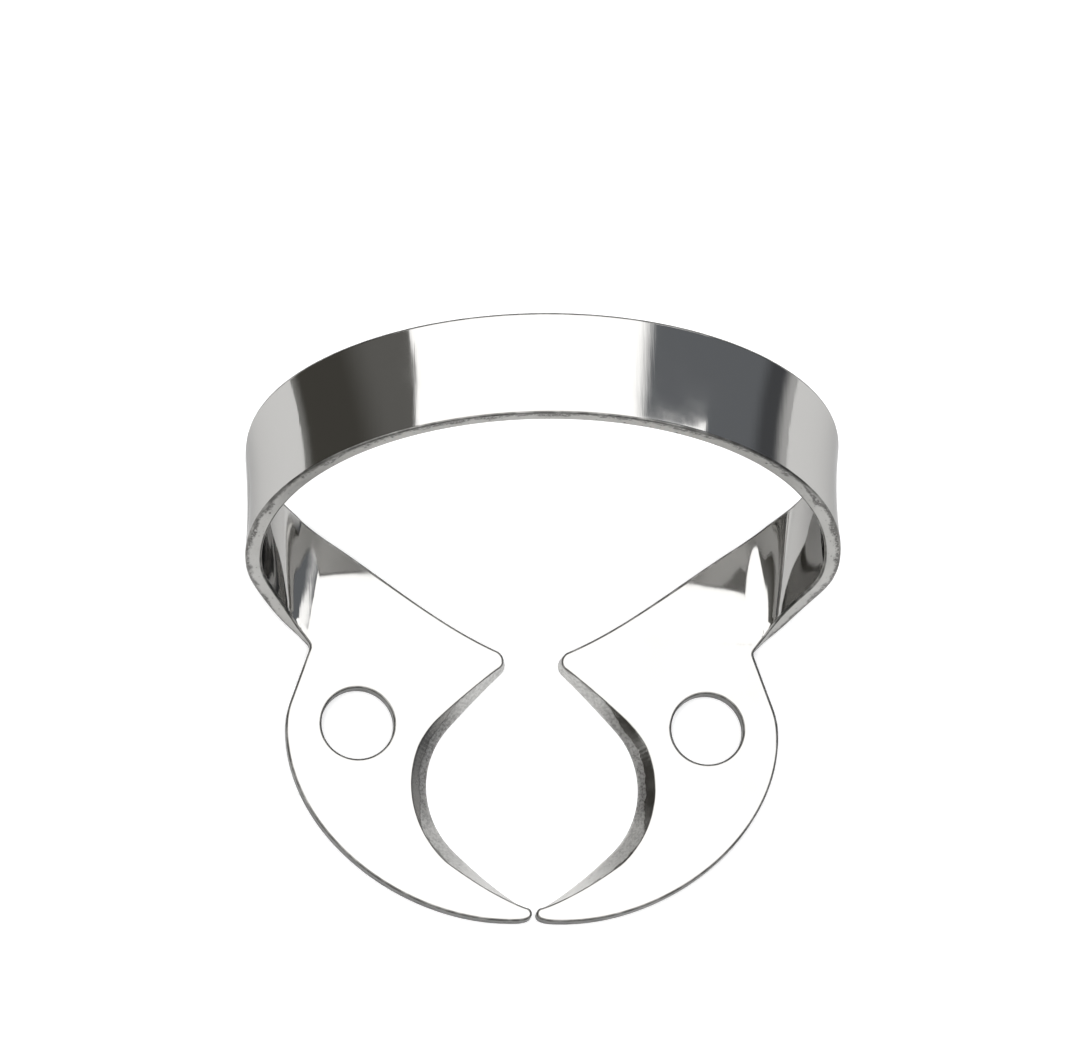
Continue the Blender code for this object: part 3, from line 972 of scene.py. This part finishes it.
def ground_steel(finish, pits, smears):
    """The hand-ground bevel: smooth and dark along its upper half, coarse and pale below and at
    its ends, with the wheel's chatter marks across it."""
    material, shader, n, place = bare_metal("ground_bevel")
    down, along, _ = n.place_and_edge_shade()
    smear = grouped(n, smears, Vector=place, Patch_Size=0.9 * MM)
    hole = grouped(n, pits, Vector=place, Pit_Spacing=0.18 * MM, Share=0.35)
    pitted = n.product(hole, 0.6)
    # The smooth band runs along the middle of the recess and wavers with the smears.
    middle = n.product(n.ramp(along, 0.36, 0.46), n.ramp(along, 0.8, 0.68))
    reach = n.scaled(n.scaled(smear, 0.5, middle), 0.42, -0.02)
    smooth = n.ramp(down, n.plus(reach, 0.06), n.minus(reach, 0.06))
    mottled = n.scaled(middle, 0.3, n.product(n.ramp(along, 0.08, 0.35), 0.32))
    blotches = n.product(n.ramp(n.noise(place, 8000.0, 5.0, 0.7), 0.42, 0.6), mottled)
    marred = n.maths("MAXIMUM", pitted, blotches)
    pale = n.mixed(marred, n.mixed(middle, GROUND_ENDS, GROUND_MIDDLE), GROUND_WORN)
    n.feed(shader.inputs["Base Color"], n.mixed(smooth, pale, GROUND_SMOOTH))
    dullness = n.scaled(smear, 0.12, 0.4)
    n.feed(shader.inputs["Roughness"], n.scaled(smooth, -0.24, dullness))
    grain = n.noise(place, 6000.0, 4.0, 0.65)
    marks = n.maths("SINE", n.scaled(grain, 3.0, n.product(along, 520.0)))
    chatter = n.product(n.ramp(along, 0.5, 0.6), n.ramp(along, 0.86, 0.76), marks)
    coarse = n.product(n.minus(1.0, smooth), n.minus(grain, pitted))
    height = n.scaled(chatter, 0.3, coarse)
    n.feed(shader.inputs["Normal"], n.bump(height, 0.7, finish.chatter_depth))
    return material


def floor_material(look):
    """Pale floor that fades into the white behind it and still takes the clamp's shadow."""
    material, shader, n = new_material("pale_floor")
    shader.inputs["Base Color"].default_value = (*look.floor_colour, 1.0)
    shader.inputs["Roughness"].default_value = 0.9
    shader.inputs["Specular IOR Level"].default_value = 0.0
    rays = n.add("ShaderNodeLightPath").outputs
    mirrored = n.product(rays["Is Glossy Ray"], FLOOR_MIRRORED)
    direct = n.maths("MAXIMUM", rays["Is Camera Ray"], mirrored)
    seen = n.maths("MAXIMUM", direct, rays["Is Transmission Ray"])
    glow = n.add("ShaderNodeEmission", Strength=n.product(seen, FLOOR_GLOW))
    both = n.add("ShaderNodeAddShader")
    n.feed(both.inputs[0], shader.outputs[0])
    n.feed(both.inputs[1], glow.outputs[0])
    out = material.node_tree.nodes["Material Output"]
    n.feed(out.inputs["Surface"], both.outputs[0])
    return material


def softbox_mask(n, x, y, z):
    """Where a direction meets the softbox. It is a plane overhead, so its sides are lines in x / z
    and y / z, and a shade hangs before its right half where only the clamp's legs mirror it."""
    height = n.maths("MAXIMUM", z, 0.001)
    over_x = n.maths("DIVIDE", x, height)
    over_y = n.maths("DIVIDE", y, height)
    # The left side runs outwards at the front and behind its bend.
    behind_bend = n.scaled(n.past(over_y, 0.57), -0.6, -0.715)
    left_side = n.scaled(n.past(0.38, over_y), -1.4, behind_bend)
    inside_left = n.ramp(n.minus(over_x, left_side), -0.02, 0.02)
    # The right side flares out at the back, steps out at the front, and has a soft edge.
    flared = n.maths("MINIMUM", n.scaled(n.past(over_y, 0.664), 4.6, 0.575), 1.25)
    right_side = n.scaled(n.ramp(over_y, 0.34, 0.28), 0.25, flared)
    soft = n.scaled(n.ramp(over_y, 0.64, 0.68), -0.05, 0.07)
    inside_right = n.ramp(n.minus(right_side, over_x), n.product(soft, -1.0), soft)
    hem = n.ramp(n.scaled(over_x, 0.07, over_y), 0.2415, 0.244)
    shade = n.product(n.ramp(over_x, 0.165, 0.185), hem, n.ramp(over_y, 0.45, 0.4))
    inside_back = n.ramp(over_y, 1.6, 1.4)
    inside_front = n.ramp(over_y, -1.1, -0.9)
    unshaded = n.minus(1.0, shade)
    overhead = n.maths("GREATER_THAN", z, 0.0)
    return n.product(inside_left, inside_right, unshaded, inside_back, inside_front, overhead)


def studio_world(look):
    """Softbox overhead and dark walls for the light and the reflections, white behind the clamp."""
    world = bpy.data.worlds.new("studio")
    world.use_nodes = True
    n = Nodes(world.node_tree)
    background = world.node_tree.nodes["Background"]
    way = n.add("ShaderNodeTexCoord").outputs["Generated"]
    x, y, z = n.add("ShaderNodeSeparateXYZ", Vector=way).outputs
    left = n.mixed(n.ramp(z, 0.42, 0.62), look.left_low, look.left_high)
    left = n.mixed(n.ramp(z, 0.1, 0.0), left, LEFT_HORIZON)
    right = n.mixed(n.ramp(z, 0.22, 0.34), look.right_low, look.right_high)
    right = n.mixed(n.ramp(z, 0.15, 0.03), right, RIGHT_HORIZON)
    walls = n.mixed(n.ramp(x, -0.3, 0.3), left, right)
    lit = n.mixed(softbox_mask(n, x, y, z), walls, (look.softbox,) * 3)
    rays = n.add("ShaderNodeLightPath").outputs
    n.feed(background.inputs["Color"], n.mixed(rays["Is Camera Ray"], lit, WHITE))
    background.inputs["Strength"].default_value = 1.0
    return world


def camera_matrix():
    """The camera's place and turn, as the clamp was photographed."""
    azimuth, elevation, roll = (math.radians(value) for value in (CAMERA_TURN, CAMERA_RISE, CAMERA_ROLL))
    right = Vector((math.cos(azimuth), math.sin(azimuth), 0.0))
    forwards = Vector((math.sin(azimuth), -math.cos(azimuth), 0.0))
    back = forwards * math.cos(elevation) + Vector((0.0, 0.0, math.sin(elevation)))
    up = back.cross(right)
    turned_right = math.cos(roll) * right + math.sin(roll) * up
    turned_up = math.cos(roll) * up - math.sin(roll) * right
    matrix = Matrix((turned_right, turned_up, back)).transposed().to_4x4()
    aside, above, away = CAMERA_AIM
    matrix.translation = CAMERA_CENTRE - turned_right * aside - turned_up * above - back * away
    return matrix


class CLAMP_OT_steel(bpy.types.Operator):
    """Build the clamp as one bent sheet of polished steel"""

    bl_idname = "clamp.steel"
    bl_label = "Steel Clamp"

    def execute(self, context):
        sizes = context.scene.clamp_sizes
        finish = context.scene.clamp_finish
        pits = pits_group()
        smears = smears_group()
        materials = [
            polished_steel(finish, smears),
            sheared_steel(finish, pits, smears),
            rim_steel(finish, smears),
            ground_steel(finish, pits, smears),
        ]
        clamp = new_object("clamp_steel", clamp_mesh(sizes, finish, materials))
        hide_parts("clamp")
        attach(clamp, "root")
        return {"FINISHED"}


class CLAMP_OT_stage(bpy.types.Operator):
    """Set up the floor, the studio's light and the camera"""

    bl_idname = "clamp.stage"
    bl_label = "Stage"

    def execute(self, context):
        look = context.scene.clamp_stage
        scene = context.scene
        mesh = bmesh.new()
        bmesh.ops.create_grid(mesh, x_segments=1, y_segments=1, size=FLOOR_HALF)
        data = bpy.data.meshes.new("floor")
        mesh.to_mesh(data)
        mesh.free()
        data.materials.append(floor_material(look))
        new_object("floor", data)
        scene.world = studio_world(look)
        lens = bpy.data.cameras.new("camera")
        lens.sensor_width = CAMERA_SENSOR
        lens.lens = CAMERA_LENS
        lens.clip_start = 0.01
        lens.clip_end = 10.0
        camera = new_object("camera", lens)
        camera.matrix_world = camera_matrix()
        scene.camera = camera
        scene.view_settings.view_transform = "Standard"
        return {"FINISHED"}


class CLAMP_PT_panel(bpy.types.Panel):
    """Sizes, finish and stage of the clamp"""

    bl_idname = "CLAMP_PT_panel"
    bl_label = "Dam Clamp"
    bl_space_type = "VIEW_3D"
    bl_region_type = "UI"
    bl_category = "Dam Clamp"

    def draw(self, context):
        layout = self.layout
        for owner in (context.scene.clamp_sizes, context.scene.clamp_finish, context.scene.clamp_stage):
            column = layout.column(align=True)
            for name in type(owner).__annotations__:
                column.prop(owner, name)
        layout.operator(CLAMP_OT_steel.bl_idname)
        layout.operator(CLAMP_OT_stage.bl_idname)


CLASSES = (ClampSizes, ClampFinish, StageLook, CLAMP_OT_steel, CLAMP_OT_stage, CLAMP_PT_panel)


def register():
    for item in CLASSES:
        bpy.utils.register_class(item)
    bpy.types.Scene.clamp_sizes = bpy.props.PointerProperty(type=ClampSizes)
    bpy.types.Scene.clamp_finish = bpy.props.PointerProperty(type=ClampFinish)
    bpy.types.Scene.clamp_stage = bpy.props.PointerProperty(type=StageLook)


def unregister():
    del bpy.types.Scene.clamp_stage
    del bpy.types.Scene.clamp_finish
    del bpy.types.Scene.clamp_sizes
    for item in reversed(CLASSES):
        bpy.utils.unregister_class(item)


def main():
    register()
    bpy.ops.clamp.steel()
    bpy.ops.clamp.stage()


if __name__ == "__main__":
    main()
